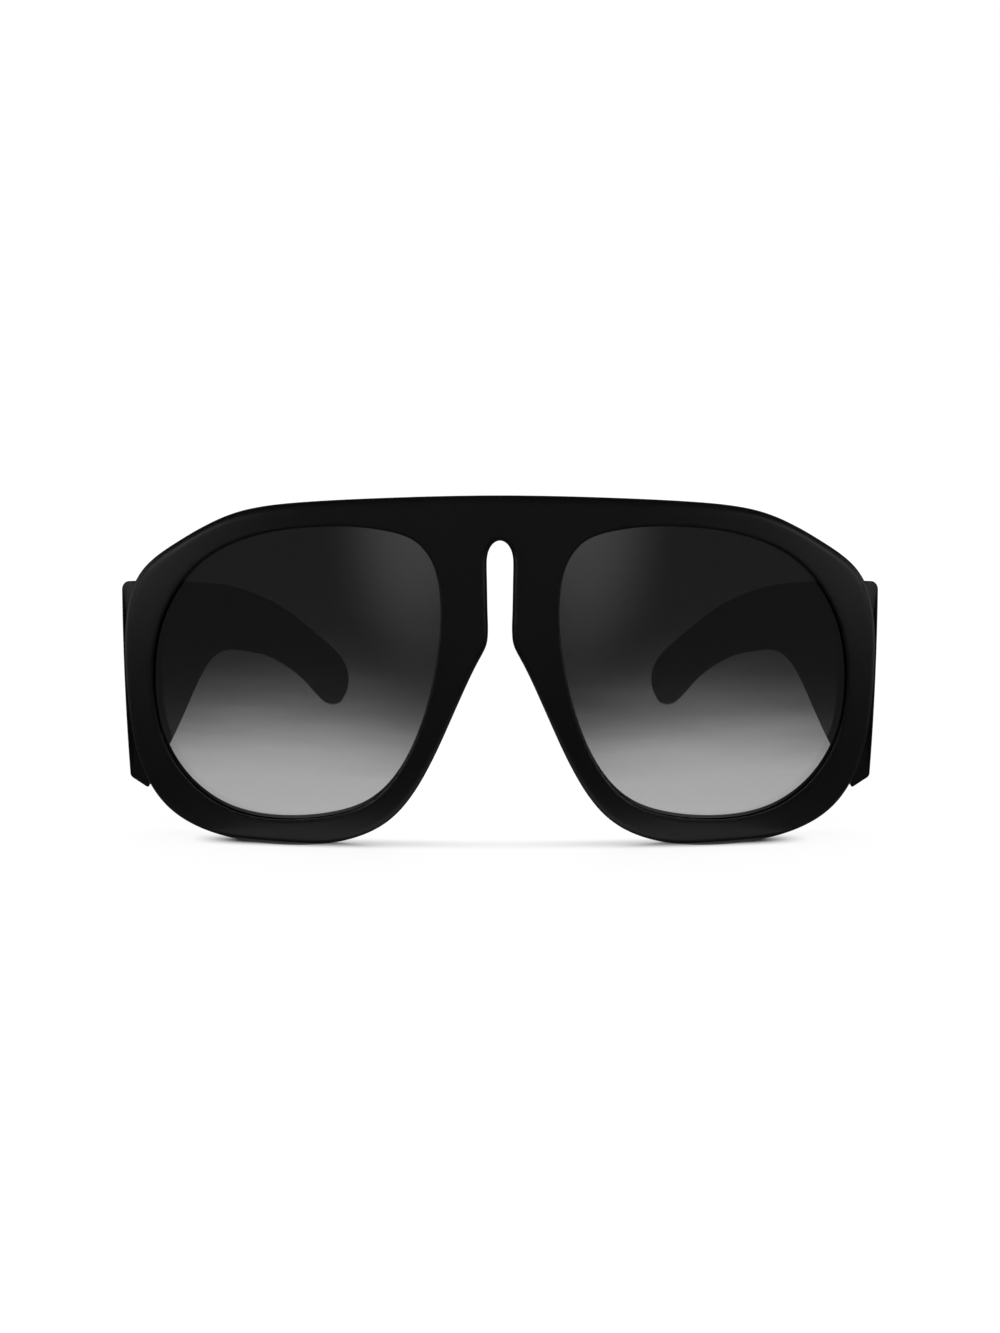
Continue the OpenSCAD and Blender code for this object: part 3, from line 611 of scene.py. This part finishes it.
def polish_group():
    """Hand polish: a slow cloudiness of colour and roughness, fine swirls, and a little dust"""
    found = bpy.data.node_groups.get("hand_polish")
    if found:
        return found
    tree, given, out = group("hand_polish", [
        ("Colour", "NodeSocketColor", (0.01, 0.01, 0.01, 1)),
        ("Cloudiness", "NodeSocketFloat", 0.2),
        ("Roughness", "NodeSocketFloat", 0.3),
        ("Spread", "NodeSocketFloat", 0.06),
        ("Cloud scale", "NodeSocketFloat", 45.0),
        ("Swirl scale", "NodeSocketFloat", 420.0),
        ("Dust", "NodeSocketFloat", 0.02)],
        [("Color", "NodeSocketColor"), ("Roughness", "NodeSocketFloat"),
         ("Height", "NodeSocketFloat")])
    where = node(tree, "ShaderNodeTexCoord", (-1200, 300)).outputs["Object"]
    cloud = node(tree, "ShaderNodeTexNoise", (-900, 300), {
        "Vector": where, "Scale": given["Cloud scale"], "Detail": 4.0, "Roughness": 0.55})
    swirl = node(tree, "ShaderNodeTexNoise", (-900, 0), {
        "Vector": where, "Scale": given["Swirl scale"], "Detail": 3.0, "Distortion": 1.6})
    dust = node(tree, "ShaderNodeTexVoronoi", (-900, -300), {
        "Vector": where, "Scale": 900.0, "Randomness": 1.0})
    speck = node(tree, "ShaderNodeMapRange", (-650, -300), {
        "Value": dust.outputs["Distance"], "From Min": 0.0, "From Max": 0.06,
        "To Min": 1.0, "To Max": 0.0})
    patch = node(tree, "ShaderNodeMapRange", (-650, -520), {
        "Value": cloud.outputs["Fac"], "From Min": 0.58, "From Max": 0.74})
    dusty = node(tree, "ShaderNodeMath", (-420, -380), {
        0: speck.outputs["Result"], 1: patch.outputs["Result"]}, operation="MULTIPLY")
    dusted = node(tree, "ShaderNodeMath", (-220, -380), {
        0: dusty.outputs[0], 1: given["Dust"]}, operation="MULTIPLY")
    swing = node(tree, "ShaderNodeMapRange", (-650, 300), {
        "Value": cloud.outputs["Fac"], "From Min": 0.3, "From Max": 0.7,
        "To Min": -1.0, "To Max": 1.0})
    tone = node(tree, "ShaderNodeMath", (-420, 420), {
        0: swing.outputs["Result"], 1: given["Cloudiness"], 2: 1.0}, operation="MULTIPLY_ADD")
    shade = node(tree, "ShaderNodeVectorMath", (-200, 420), {
        0: given["Colour"]}, operation="SCALE")
    tree.links.new(tone.outputs[0], shade.inputs["Scale"])
    light = node(tree, "ShaderNodeVectorMath", (200, 300), {
        0: shade.outputs[0], 1: dusted.outputs[0]}, operation="ADD")
    tree.links.new(light.outputs[0], out["Color"])
    mixed = node(tree, "ShaderNodeMath", (-420, 120), {
        0: swing.outputs["Result"], 1: swirl.outputs["Fac"]}, operation="ADD")
    rough = node(tree, "ShaderNodeMath", (-200, 120), {
        0: mixed.outputs[0], 1: given["Spread"], 2: given["Roughness"]}, operation="MULTIPLY_ADD")
    tree.links.new(rough.outputs[0], out["Roughness"])
    height = node(tree, "ShaderNodeMath", (-200, -80), {
        0: cloud.outputs["Fac"], 1: 3.0, 2: swirl.outputs["Fac"]}, operation="MULTIPLY_ADD")
    tree.links.new(height.outputs[0], out["Height"])
    return tree


def brushed_group():
    """Brushed or drawn metal: streaks along one axis, with small scratches across"""
    found = bpy.data.node_groups.get("brushed_streaks")
    if found:
        return found
    tree, given, out = group("brushed_streaks", [
        ("Colour", "NodeSocketColor", (0.6, 0.6, 0.6, 1)),
        ("Stretch", "NodeSocketVector", (1.0, 1.0, 0.06)),
        ("Fineness", "NodeSocketFloat", 9000.0),
        ("Roughness", "NodeSocketFloat", 0.3),
        ("Spread", "NodeSocketFloat", 0.14)],
        [("Color", "NodeSocketColor"), ("Roughness", "NodeSocketFloat"),
         ("Height", "NodeSocketFloat")])
    where = node(tree, "ShaderNodeTexCoord", (-1200, 300)).outputs["Object"]
    along = node(tree, "ShaderNodeVectorMath", (-1000, 200), {
        0: where, 1: given["Stretch"]}, operation="MULTIPLY")
    streak = node(tree, "ShaderNodeTexNoise", (-750, 250), {
        "Vector": along.outputs[0], "Scale": given["Fineness"], "Detail": 2.0})
    wear = node(tree, "ShaderNodeTexNoise", (-750, 0), {
        "Vector": where, "Scale": 500.0, "Detail": 3.0})
    swing = node(tree, "ShaderNodeMapRange", (-500, 250), {
        "Value": streak.outputs["Fac"], "From Min": 0.25, "From Max": 0.75,
        "To Min": 0.86, "To Max": 1.04})
    worn = node(tree, "ShaderNodeMapRange", (-500, 0), {
        "Value": wear.outputs["Fac"], "From Min": 0.3, "From Max": 0.7,
        "To Min": 0.93, "To Max": 1.03})
    tone = node(tree, "ShaderNodeMath", (-300, 150), {
        0: swing.outputs["Result"], 1: worn.outputs["Result"]}, operation="MULTIPLY")
    shade = node(tree, "ShaderNodeVectorMath", (-100, 250), {
        0: given["Colour"]}, operation="SCALE")
    tree.links.new(tone.outputs[0], shade.inputs["Scale"])
    tree.links.new(shade.outputs[0], out["Color"])
    rough = node(tree, "ShaderNodeMath", (-100, 0), {
        0: streak.outputs["Fac"], 1: given["Spread"], 2: given["Roughness"]},
        operation="MULTIPLY_ADD")
    tree.links.new(rough.outputs[0], out["Roughness"])
    tree.links.new(streak.outputs["Fac"], out["Height"])
    return tree


def use_group(tree, made, inputs):
    """Places a node group with its values"""
    placed_group = node(tree, "ShaderNodeGroup", (-500, 0), node_tree=made)
    for key, value in inputs.items():
        placed_group.inputs[key].default_value = value
    return placed_group.outputs


def surface(tree, outputs, bump_distance, bump_strength, **sockets):
    """Feeds a group's colour, roughness and height to the material's own shader"""
    shader = tree.nodes["Principled BSDF"]
    bump = node(tree, "ShaderNodeBump", (-250, -250), {
        "Strength": bump_strength, "Distance": bump_distance, "Height": outputs["Height"]})
    tree.links.new(outputs["Color"], shader.inputs["Base Color"])
    tree.links.new(outputs["Roughness"], shader.inputs["Roughness"])
    tree.links.new(bump.outputs["Normal"], shader.inputs["Normal"])
    for key, value in sockets.items():
        shader.inputs[key.replace("_", " ")].default_value = value


def acetate_material(f):
    material, tree = new_material("polished_acetate")
    if tree:
        outputs = use_group(tree, polish_group(), {
            "Colour": rgba(f.acetate), "Cloudiness": 0.18, "Roughness": f.acetate_rough,
            "Spread": 0.035, "Cloud scale": 55.0, "Swirl scale": 500.0, "Dust": 0.004})
        surface(tree, outputs, 0.00002, 0.12, IOR=1.48, Specular_IOR_Level=0.24)
    return material


def metal_material(name, c, stretch, fineness, rough):
    material, tree = new_material(name)
    if tree:
        outputs = use_group(tree, brushed_group(), {
            "Colour": rgba(c), "Stretch": stretch, "Fineness": fineness, "Roughness": rough,
            "Spread": 0.12})
        surface(tree, outputs, 0.00002, 0.2, Metallic=1.0)
    return material


def lens_material(f, mid_x, low_z, high_z):
    """Smoke tint, graded by height: dark at the top, light from a little below the middle"""
    material, tree = new_material("graded_smoke")
    if tree is None:
        return material
    shader = tree.nodes["Principled BSDF"]
    where = node(tree, "ShaderNodeTexCoord", (-1500, 0)).outputs["Object"]
    parts = node(tree, "ShaderNodeSeparateXYZ", (-1300, 0), {"Vector": where})
    stretch = node(tree, "ShaderNodeVectorMath", (-1300, -250), {
        0: where, 1: LENS_STREAKS}, operation="MULTIPLY")
    band = node(tree, "ShaderNodeTexNoise", (-1100, -250), {
        "Vector": stretch.outputs[0], "Scale": 1.0, "Detail": 3.0})
    side = node(tree, "ShaderNodeMath", (-1300, 200), {0: parts.outputs["X"]}, operation="ABSOLUTE")
    off = node(tree, "ShaderNodeMath", (-1150, 200), {0: side.outputs[0], 1: mid_x},
               operation="SUBTRACT")
    arch = node(tree, "ShaderNodeMath", (-1000, 200), {0: off.outputs[0], 1: off.outputs[0]},
                operation="MULTIPLY")
    arched = node(tree, "ShaderNodeMath", (-1000, 50), {
        0: arch.outputs[0], 1: LENS_ARCH, 2: parts.outputs["Z"]}, operation="MULTIPLY_ADD")
    rise = node(tree, "ShaderNodeMapRange", (-850, 100), {
        "Value": arched.outputs[0], "From Min": low_z, "From Max": high_z})
    sway = node(tree, "ShaderNodeMath", (-900, -100), {
        0: band.outputs["Fac"], 1: LENS_SWAY, 2: -LENS_SWAY / 2}, operation="MULTIPLY_ADD")
    grade = node(tree, "ShaderNodeMath", (-750, 0), {
        0: rise.outputs["Result"], 1: sway.outputs[0]}, operation="ADD")
    ramp = node(tree, "ShaderNodeValToRGB", (-550, 0), {"Fac": grade.outputs[0]})
    ramp.color_ramp.interpolation = "B_SPLINE"
    elements = ramp.color_ramp.elements
    while len(elements) < len(LENS_STOPS):
        elements.new(0.5)
    for element, (at, value) in zip(elements, LENS_STOPS):
        element.position, element.color = at, (value, value, value, 1)
    mix = node(tree, "ShaderNodeMix", (-250, 0), {
        "Factor": ramp.outputs["Color"]}, data_type="RGBA")
    mix.inputs["A"].default_value = rgba(f.lens_top)
    mix.inputs["B"].default_value = rgba(f.lens_low)
    tree.links.new(mix.outputs["Result"], shader.inputs["Base Color"])
    shader.inputs["Roughness"].default_value = 0.02
    shader.inputs["IOR"].default_value = 1.586
    shader.inputs["Coat Weight"].default_value = 1.0
    shader.inputs["Coat Roughness"].default_value = 0.01
    shader.inputs["Transmission Weight"].default_value = 1.0
    return material


# Stage

def stage_object(name, points, faces, material):
    mesh = bpy.data.meshes.new(name)
    mesh.from_pydata(points, [], faces)
    made = bpy.data.objects.new(name, mesh)
    bpy.context.scene.collection.objects.link(made)
    mesh.materials.append(material)
    return made


def seen_rays(tree):
    """1 for the rays in which the pale background shows: camera, glossy and transmission"""
    path = node(tree, "ShaderNodeLightPath", (-900, 300))
    first = node(tree, "ShaderNodeMath", (-700, 300), {
        0: path.outputs["Is Camera Ray"], 1: path.outputs["Is Glossy Ray"]}, operation="MAXIMUM")
    return node(tree, "ShaderNodeMath", (-500, 300), {
        0: first.outputs[0], 1: path.outputs["Is Transmission Ray"]},
        operation="MAXIMUM").outputs[0]


def floor_material(c):
    """White paper: most of what is seen is plain white, and the rest takes light and shadow, more
    near the object; a strip under the front's foot is painted contact shadow, which the real shadow
    there deepens"""
    material, tree = new_material("white_paper")
    if tree is None:
        return material
    tree.nodes.remove(tree.nodes["Principled BSDF"])
    paper = node(tree, "ShaderNodeBsdfDiffuse", (-300, 100), {"Color": rgba(c)})
    white = node(tree, "ShaderNodeEmission", (-300, -100), {
        "Color": (1, 1, 1, 1), "Strength": 1.06})
    where = node(tree, "ShaderNodeNewGeometry", (-900, 0)).outputs["Position"]
    away = node(tree, "ShaderNodeVectorMath", (-700, 0), {0: where}, operation="LENGTH")
    plain = node(tree, "ShaderNodeMapRange", (-500, 0), {
        "Value": away.outputs["Value"], "From Min": 0.12, "From Max": 0.3,
        "To Min": PLAIN_NEAR, "To Max": PLAIN_FAR}, interpolation_type="SMOOTHSTEP")
    parts = node(tree, "ShaderNodeSeparateXYZ", (-900, -200), {"Vector": where})
    # Painted contact shadow: a strip along the front's bent foot, ending beside the rims and paler
    # in the middle, takes plain white away so that the floor shows darker there
    wide = node(tree, "ShaderNodeMath", (-900, -300), {
        0: parts.outputs["X"], 1: parts.outputs["X"]}, operation="MULTIPLY")
    bent = node(tree, "ShaderNodeMath", (-800, -200), {
        0: wide.outputs[0], 1: FOOT_SHADOW_BEND, 2: parts.outputs["Y"]}, operation="MULTIPLY_ADD")
    back = node(tree, "ShaderNodeMath", (-700, -200), {0: bent.outputs[0], 1: FOOT_SHADOW_Y},
                operation="SUBTRACT")
    off = node(tree, "ShaderNodeMath", (-600, -200), {0: back.outputs[0]}, operation="ABSOLUTE")
    shadow_strip = node(tree, "ShaderNodeMapRange", (-500, -200), {
        "Value": off.outputs[0], "From Min": 0.0, "From Max": FOOT_SHADOW_WIDE, "To Min": 1.0,
        "To Max": 0.0}, interpolation_type="SMOOTHSTEP")
    side = node(tree, "ShaderNodeMath", (-700, -400), {0: parts.outputs["X"]},
                operation="ABSOLUTE")
    inside = node(tree, "ShaderNodeMapRange", (-500, -400), {
        "Value": side.outputs[0], "From Min": FOOT_SHADOW_END, "From Max": FOOT_SHADOW_END + FOOT_SHADOW_FADE,
        "To Min": 1.0, "To Max": 0.0}, interpolation_type="SMOOTHSTEP")
    outward = node(tree, "ShaderNodeMapRange", (-500, -600), {
        "Value": side.outputs[0], "From Min": 0.0, "From Max": FOOT_SHADOW_RISE, "To Min": FOOT_SHADOW_PALE,
        "To Max": FOOT_SHADOW_DARK}, interpolation_type="SMOOTHSTEP")
    shade = node(tree, "ShaderNodeMath", (-300, -300), {
        0: shadow_strip.outputs["Result"], 1: inside.outputs["Result"]}, operation="MULTIPLY")
    shade = node(tree, "ShaderNodeMath", (-200, -300), {
        0: shade.outputs[0], 1: outward.outputs["Result"]}, operation="MULTIPLY")
    left = node(tree, "ShaderNodeMath", (-200, 0), {
        0: plain.outputs["Result"], 1: shade.outputs[0]}, operation="SUBTRACT", use_clamp=True)
    much = node(tree, "ShaderNodeMath", (-300, 300), {
        0: seen_rays(tree), 1: left.outputs[0]}, operation="MULTIPLY")
    mix = node(tree, "ShaderNodeMixShader", (0, 0), {
        0: much.outputs[0], 1: paper.outputs[0], 2: white.outputs[0]})
    tree.links.new(mix.outputs[0], tree.nodes["Material Output"].inputs["Surface"])
    return material


def flag_material(name, front, behind, glows):
    """A dark studio flag with soft lights in it, for reflections only: darkest behind the object;
    each glow has the place it is seen from, its direction, how far it spreads, and its strength"""
    material, tree = new_material(name)
    if tree is None:
        return material
    tree.nodes.remove(tree.nodes["Principled BSDF"])
    where = node(tree, "ShaderNodeNewGeometry", (-1500, 0)).outputs["Position"]

    def direction(place):
        off = node(tree, "ShaderNodeVectorMath", (-1300, 0), {0: where, 1: place},
                   operation="SUBTRACT")
        return node(tree, "ShaderNodeVectorMath", (-1100, 0), {0: off.outputs[0]},
                    operation="NORMALIZE").outputs[0]

    parts = node(tree, "ShaderNodeSeparateXYZ", (-900, 300), {"Vector": direction((0, 0, 0))})
    total = node(tree, "ShaderNodeMapRange", (-700, 300), {
        "Value": parts.outputs["Y"], "From Min": -0.35, "From Max": 0.25, "To Min": front,
        "To Max": behind}, interpolation_type="SMOOTHSTEP").outputs["Result"]
    for place, towards, spread, strength in glows:
        off = node(tree, "ShaderNodeVectorMath", (-900, 0), {
            0: direction(place), 1: towards}, operation="SUBTRACT")
        wide = node(tree, "ShaderNodeVectorMath", (-700, 0), {
            0: off.outputs[0], 1: spread}, operation="DIVIDE")
        far = node(tree, "ShaderNodeVectorMath", (-500, 0), {0: wide.outputs[0]},
                   operation="LENGTH")
        fall = node(tree, "ShaderNodeMapRange", (-300, 0), {
            "Value": far.outputs["Value"], "To Min": strength, "To Max": 0.0},
            interpolation_type="SMOOTHERSTEP")
        total = node(tree, "ShaderNodeMath", (-200, -200), {
            0: fall.outputs["Result"], 1: total}, operation="ADD").outputs[0]
    light = node(tree, "ShaderNodeEmission", (-40, 0), {"Strength": total})
    tree.links.new(light.outputs[0], tree.nodes["Material Output"].inputs["Surface"])
    return material


def area_light(name, place, aim, size, power):
    lamp = bpy.data.lights.new(name, "AREA")
    lamp.shape, lamp.size, lamp.size_y, lamp.energy = "RECTANGLE", size[0], size[1], power
    made = bpy.data.objects.new(name, lamp)
    bpy.context.scene.collection.objects.link(made)
    made.location = place
    made.rotation_euler = (Vector(aim) - Vector(place)).to_track_quat("-Z", "Y").to_euler()
    return made


# Operators

def sizes():
    scene = bpy.context.scene
    return scene.sun_front, scene.sun_temple, scene.sun_hinge


SIDES = (("left", 1), ("right", -1))


class SUN_OT_front(bpy.types.Operator):
    """Builds the polished front, with the hinges' seats in its rear face"""
    bl_idname = "sunglasses.front"
    bl_label = "Front"

    def execute(self, context):
        s, t, hinge = sizes()
        front = Front(s, RIM_STEPS)
        points, faces = front_mesh(front, t.reach)
        piece = make_piece("front_polished", points, faces, "front",
                           "front_frame", acetate_material(context.scene.sun_finish))
        temple = Temple(t, front, hinge)
        half_w, half_h = hinge.front_leaf_w / 2 + s.seat, hinge.front_leaf_h / 2 + s.seat
        low = (-half_w, -temple.stand_off - hinge.leaf_t - s.seat / 2, -half_h)
        for _, side in SIDES:
            cut_box(piece, temple.hinge_place(temple.face_turn, side), low, (half_w, 0, half_h))
        return {"FINISHED"}


class SUN_OT_lenses(bpy.types.Operator):
    """Builds the two graded lenses"""
    bl_idname = "sunglasses.lenses"
    bl_label = "Lenses"

    def execute(self, context):
        s, t, _ = sizes()
        front = Front(s, LENS_STEPS)
        material = lens_material(context.scene.sun_finish, front.lens_x, s.rim_low,
                                 s.rim_low + s.lens_h)
        points, faces = lens_mesh(front, t.reach)
        for name, side in SIDES:
            make_piece(f"{name}_lens_graded", points, faces, "front",
                       f"{name}_lens", material, mirror=side < 0)
        return {"FINISHED"}


class SUN_OT_temples(bpy.types.Operator):
    """Builds the two deep temples, with the hinge leaf's seat in each inner face"""
    bl_idname = "sunglasses.temples"
    bl_label = "Temples"

    def execute(self, context):
        s, t, hinge = sizes()
        front = Front(s, RIM_STEPS)
        temple = Temple(t, front, hinge)
        points, faces = temple.mesh()
        high_z = hinge.temple_leaf_h / 2 + s.seat
        deep = temple.stand_off + hinge.leaf_t + s.seat / 2
        for name, side in SIDES:
            piece = make_piece(f"{name}_temple_polished", points, faces, f"{name}_arm",
                               f"{name}_temple",
                               acetate_material(context.scene.sun_finish), mirror=side < 0)
            cut_box(piece, temple.hinge_place(temple.toe_turn, side), (0, -2 * s.front_t, -high_z),
                    (deep, hinge.temple_leaf_l + s.seat, high_z))
        return {"FINISHED"}


class SUN_OT_pads(bpy.types.Operator):
    """Builds the two nose pads"""
    bl_idname = "sunglasses.pads"
    bl_label = "Nose pads"

    def execute(self, context):
        s, t, _ = sizes()
        points, faces = pad_mesh(Front(s, RIM_STEPS), context.scene.sun_pad, t.reach)
        for name, side in SIDES:
            make_piece(f"{name}_nose_pad_polished", points, faces, "front",
                       f"{name}_nose_pad", acetate_material(context.scene.sun_finish),
                       mirror=side < 0)
        return {"FINISHED"}


class SUN_OT_metal(bpy.types.Operator):
    """Gives the hinges, screws and core wires their metals"""
    bl_idname = "sunglasses.metal"
    bl_label = "Metal parts"

    def execute(self, context):
        f = context.scene.sun_finish
        leaf = metal_material("brushed_hinge", f.steel, (0.06, 0.06, 1.0), 9000.0, 0.34)
        screw = metal_material("turned_screw", f.screw_steel, (1.0, 1.0, 0.2), 7000.0, 0.24)
        wire = metal_material("drawn_wire", f.screw_steel, (1.0, 0.04, 1.0), 6000.0, 0.3)
        by_word = {"leaf": leaf, "screw": screw, "wire": wire}
        for name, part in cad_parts.items():
            word = name.split("_")[-1]
            if word in by_word:
                part.data.materials.clear()
                part.data.materials.append(by_word[word])
        return {"FINISHED"}


class SUN_OT_stage(bpy.types.Operator):
    """Sets the white floor, the soft light and the camera"""
    bl_idname = "sunglasses.stage"
    bl_label = "Stage"

    def execute(self, context):
        scene, st = context.scene, context.scene.sun_stage
        camera = bpy.data.objects.new("camera", bpy.data.cameras.new("camera"))
        scene.collection.objects.link(camera)
        camera.location = (0, -st.camera_back, st.camera_up)
        camera.rotation_euler = Euler((math.pi / 2 - st.camera_pitch, 0, 0))
        camera.data.lens, camera.data.clip_start = st.camera_lens, 0.01
        scene.camera = camera
        scene.view_settings.view_transform = "Standard"

        corners = [(-FLOOR_WIDE, FLOOR_NEAR, 0), (FLOOR_WIDE, FLOOR_NEAR, 0),
                   (FLOOR_WIDE, FLOOR_FAR, 0), (-FLOOR_WIDE, FLOOR_FAR, 0)]
        stage_object("floor", corners, [(0, 1, 2, 3)], floor_material(st.floor))

        # Cards: a paler disk beneath the glasses and a dark ring round it, with a thin white gap
        # between them that follows the front's bend
        s, t, _ = sizes()
        middle, turns = s.wrap_r - t.reach / 2, CARD_TURNS
        glows = [((side * x, *place), (side * over, *towards), spread, strength)
                 for side in (-1, 1)
                 for (x, *place), (over, *towards), spread, strength in SIDE_GLOWS]
        glows.append(((0, middle, FOOT_GLOW_Z), *FOOT_GLOW))
        dark = flag_material("studio_flag", *FLAG_TONES, glows)
        pale = flag_material("near_flag", *NEAR_TONES, [NEAR_GLOW])
        stops = [math.radians(-180 + 360 * i / turns) for i in range(turns + 1)]
        front_part = [1 - min(1, max(0, (abs(a) - GAP_TURN) / GAP_FADE)) for a in stops]
        gap = s.wrap_r - GAP_INSET
        rings = {"near_card": ([CARD_IN] * len(stops), [gap] * len(stops), pale),
                 "card": ([gap + GAP_WIDE * f for f in front_part], [CARD_OUT] * len(stops), dark)}
        cards = []
        for name, (*radii, material) in rings.items():
            points = [(r * math.sin(a), middle - r * math.cos(a), CARD_Z)
                      for row in radii for r, a in zip(row, stops)]
            faces = [(i, i + 1, turns + 2 + i, turns + 1 + i) for i in range(turns)]
            cards.append(stage_object(name, points, faces, material))

        # Flag: a dark dome over the stage
        radius, turns, rises = DOME_R, DOME_TURNS, DOME_RISES
        points, faces = [], []
        for k in range(rises + 1):
            rise = math.radians(DOME_LOW + DOME_SPAN * k / rises)
            for i in range(turns + 1):
                turn = math.radians(-180 + 360 * i / turns)
                points.append((radius * math.cos(rise) * math.sin(turn),
                               -radius * math.cos(rise) * math.cos(turn), radius * math.sin(rise)))
        for k in range(rises):
            for i in range(turns):
                a = k * (turns + 1) + i
                faces.append((a, a + 1, a + turns + 2, a + turns + 1))
        flag = stage_object("flag", points, faces, dark)
        for made in (*cards, flag):
            made.visible_camera = made.visible_diffuse = made.visible_shadow = False
            made.visible_transmission = False

        world = bpy.data.worlds.new("studio")
        scene.world = world
        world.use_nodes = True
        tree = world.node_tree
        light = node(tree, "ShaderNodeMapRange", (-300, 0), {
            "Value": seen_rays(tree), "To Min": 0.45, "To Max": 1.0})
        tree.links.new(light.outputs["Result"], tree.nodes["Background"].inputs["Strength"])
        tree.nodes["Background"].inputs["Color"].default_value = (1, 1, 1, 1)

        lamp = area_light("overhead", (0, 0.1, 0.9), (0, 0, 0), (1.0, 0.7), 5.0)
        lamp.visible_glossy = False
        return {"FINISHED"}


OPERATORS = (SUN_OT_stage, SUN_OT_front, SUN_OT_lenses, SUN_OT_temples, SUN_OT_pads, SUN_OT_metal)


class SUN_PT_panel(bpy.types.Panel):
    """Lists the pieces that can be built"""
    bl_label = "Sunglasses"
    bl_idname = "SUN_PT_panel"
    bl_space_type = "VIEW_3D"
    bl_region_type = "UI"
    bl_category = "Sunglasses"

    def draw(self, context):
        for operator in OPERATORS:
            self.layout.operator(operator.bl_idname)


CLASSES = (*GROUPS.values(), *OPERATORS, SUN_PT_panel)


def register():
    for cls in CLASSES:
        bpy.utils.register_class(cls)
    for name, cls in GROUPS.items():
        setattr(bpy.types.Scene, name, PointerProperty(type=cls))


def unregister():
    for name in GROUPS:
        delattr(bpy.types.Scene, name)
    for cls in reversed(CLASSES):
        bpy.utils.unregister_class(cls)


def main():
    register()
    bpy.ops.sunglasses.stage()
    bpy.ops.sunglasses.front()
    bpy.ops.sunglasses.lenses()
    bpy.ops.sunglasses.temples()
    bpy.ops.sunglasses.pads()
    bpy.ops.sunglasses.metal()


if __name__ == "__main__":
    main()
